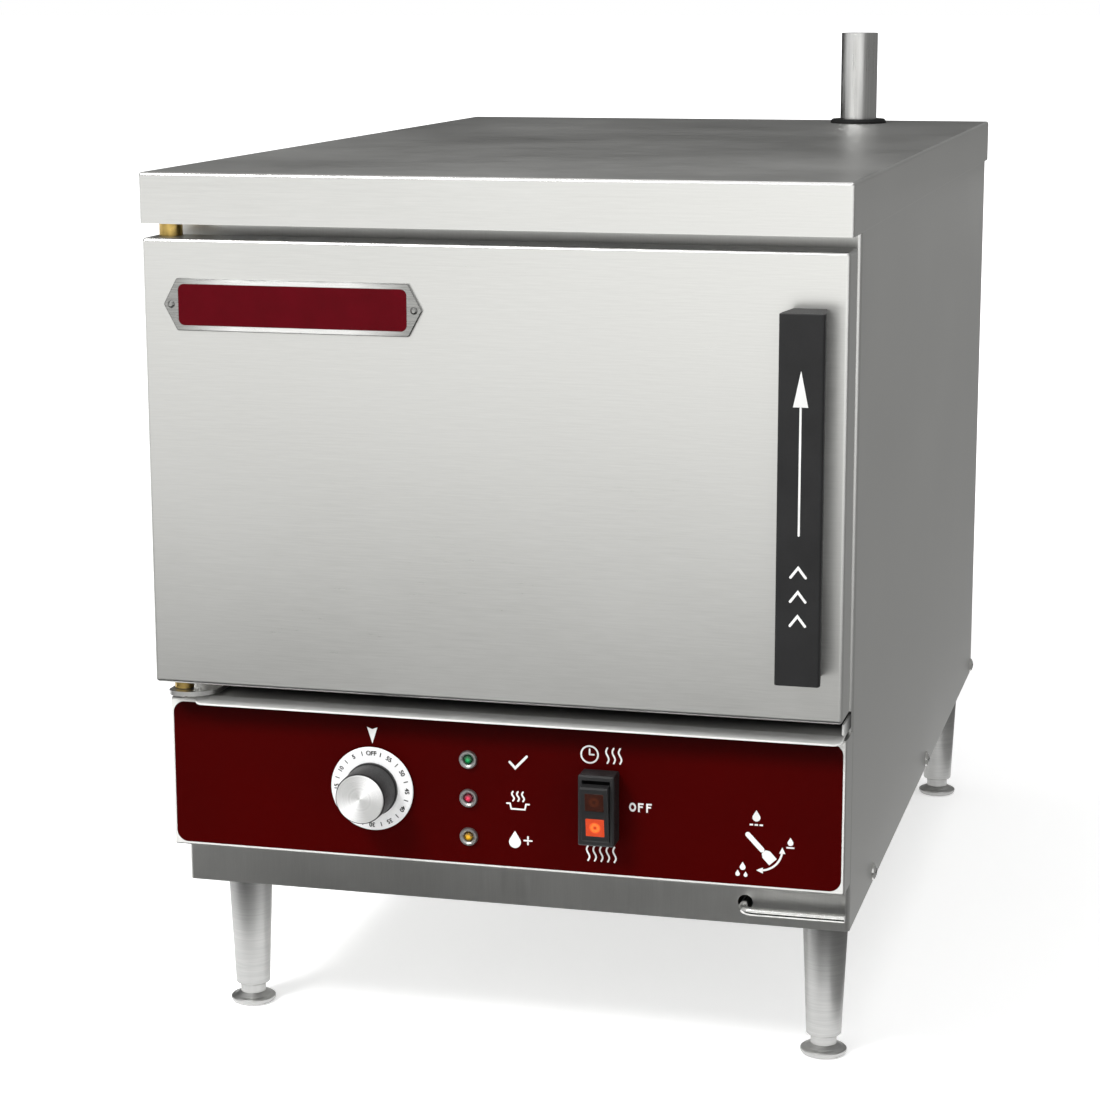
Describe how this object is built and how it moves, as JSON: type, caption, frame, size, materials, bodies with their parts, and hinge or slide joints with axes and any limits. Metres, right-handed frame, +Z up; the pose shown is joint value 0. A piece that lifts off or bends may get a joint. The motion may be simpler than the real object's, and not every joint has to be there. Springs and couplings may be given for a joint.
{
  "type": "convection steamer",
  "caption": "Countertop convection steamer: stainless cabinet on legs, side-hinged door with a lift latch, control panel, drain lever and vent pipe.",
  "frame": {"origin": "on the floor under the middle of the whole object, handle and drain stub included", "axes": "+X to the right seen from the front, +Y from the door to the back, +Z up"},
  "size_m": [0.4612, 0.8346, 0.6669],
  "materials": {
    "stainless": "horizontally brushed stainless steel",
    "polished": "bright metal",
    "overlay": "dark red printed overlay with a pale border",
    "black_plastic": "black moulded plastic",
    "white_dial": "white dial with plain numbers",
    "silicone": "red-brown silicone",
    "black_rubber": "black rubber",
    "brass": "brass",
    "blanket": "mineral wool",
    "cast": "cast aluminium",
    "motor": "dark enamel",
    "lens_green": "green lens",
    "lens_red": "red lens",
    "lens_amber": "amber lens",
    "lens_orange": "orange switch lens",
    "badge_red": "blank dark red field"
  },
  "bodies": {
    "cabinet": {"top_cover": "stainless", "body_wrapper": "stainless", "base_pan": "stainless", "back_panel": "stainless", "control_housing": "stainless", "panel_overlay": "overlay", "drip_gutter": "stainless", "cooking_chamber": "stainless", "water_well": "stainless", "chamber_insulation": "blanket", "rack_studs": "stainless", "fan_guard": "stainless", "fan_motor": "motor", "heater_plate": "cast", "water_level_probe": "stainless", "thermostat": "black_plastic", "drain_pipe": "stainless", "drain_valve": "brass", "drain_outlet": "stainless", "drain_nipple": "brass", "vent_pipe": "stainless", "vent_grommet": "black_rubber", "hinge_brackets": "stainless", "hinge_pins": "stainless", "latch_keepers": "stainless", "timer_body": "black_plastic", "pilot_lamps": "polished", "lamp_lens_green": "lens_green", "lamp_lens_red": "lens_red", "lamp_lens_amber": "lens_amber", "switch_housing": "black_plastic", "contactor": "black_plastic", "terminal_block": "black_plastic", "power_gland": "black_plastic", "legs": "stainless", "leg_mounts": "stainless", "panel_screws": "polished"},
    "door": {"door_skin": "stainless", "door_liner": "stainless", "door_insulation": "blanket", "door_gasket": "silicone", "hinge_bushes": "brass", "hinge_blocks": "stainless", "badge_plate": "polished", "badge_field": "badge_red"},
    "handle": {"handle_bar": "black_plastic", "latch_slide": "stainless"},
    "timer": {"timer_knob": "black_plastic", "timer_dial": "white_dial", "timer_cap": "polished"},
    "rocker": {"switch_rocker": "black_plastic", "rocker_lenses": "lens_orange"},
    "drain_lever": {"drain_lever": "stainless"},
    "fan": {"fan_wheel": "cast"},
    "rack_left": {"pan_rack_left": "stainless"},
    "rack_right": {"pan_rack_right": "stainless"},
    "foot_front_left": {"foot_front_left": "stainless"},
    "foot_front_right": {"foot_front_right": "stainless"},
    "foot_rear_left": {"foot_rear_left": "stainless"},
    "foot_rear_right": {"foot_rear_right": "stainless"}
  },
  "joints": [
    {"name": "door_hinge", "type": "hinge", "parent": "cabinet", "child": "door", "pos_m": [-0.217, -0.36475, 0.2568], "axis": [0, 0, -1], "range_deg": [0, 180]},
    {"name": "handle_lift", "type": "slide", "parent": "door", "child": "handle", "axis": [0, 0, 1], "range_m": [0, 0.015]},
    {"name": "timer_turn", "type": "hinge", "parent": "cabinet", "child": "timer", "pos_m": [-0.0862, -0.36325, 0.1875], "axis": [0, 1, 0], "range_deg": [0, 330]},
    {"name": "rocker_tip", "type": "hinge", "parent": "cabinet", "child": "rocker", "pos_m": [0.069, -0.37025, 0.187], "axis": [-1, 0, 0], "range_deg": [0, 16]},
    {"name": "drain_turn", "type": "hinge", "parent": "cabinet", "child": "drain_lever", "pos_m": [0.1597, -0.33805, 0.1203], "axis": [0, 1, 0], "range_deg": [0, 90]},
    {"name": "fan_spin", "type": "hinge", "parent": "cabinet", "child": "fan", "pos_m": [0, 0.22925, 0.405], "axis": [0, 1, 0], "continuous": true},
    {"name": "rack_left_lift", "type": "slide", "parent": "cabinet", "child": "rack_left", "axis": [0, 0, 1], "range_m": [0, 0.012]},
    {"name": "rack_right_lift", "type": "slide", "parent": "cabinet", "child": "rack_right", "axis": [0, 0, 1], "range_m": [0, 0.012]},
    {"name": "foot_front_left_screw", "type": "slide", "parent": "cabinet", "child": "foot_front_left", "axis": [0, 0, -1], "range_m": [0, 0.02]},
    {"name": "foot_front_right_screw", "type": "slide", "parent": "cabinet", "child": "foot_front_right", "axis": [0, 0, -1], "range_m": [0, 0.02]},
    {"name": "foot_rear_left_screw", "type": "slide", "parent": "cabinet", "child": "foot_rear_left", "axis": [0, 0, -1], "range_m": [0, 0.02]},
    {"name": "foot_rear_right_screw", "type": "slide", "parent": "cabinet", "child": "foot_rear_right", "axis": [0, 0, -1], "range_m": [0, 0.02]}
  ]
}
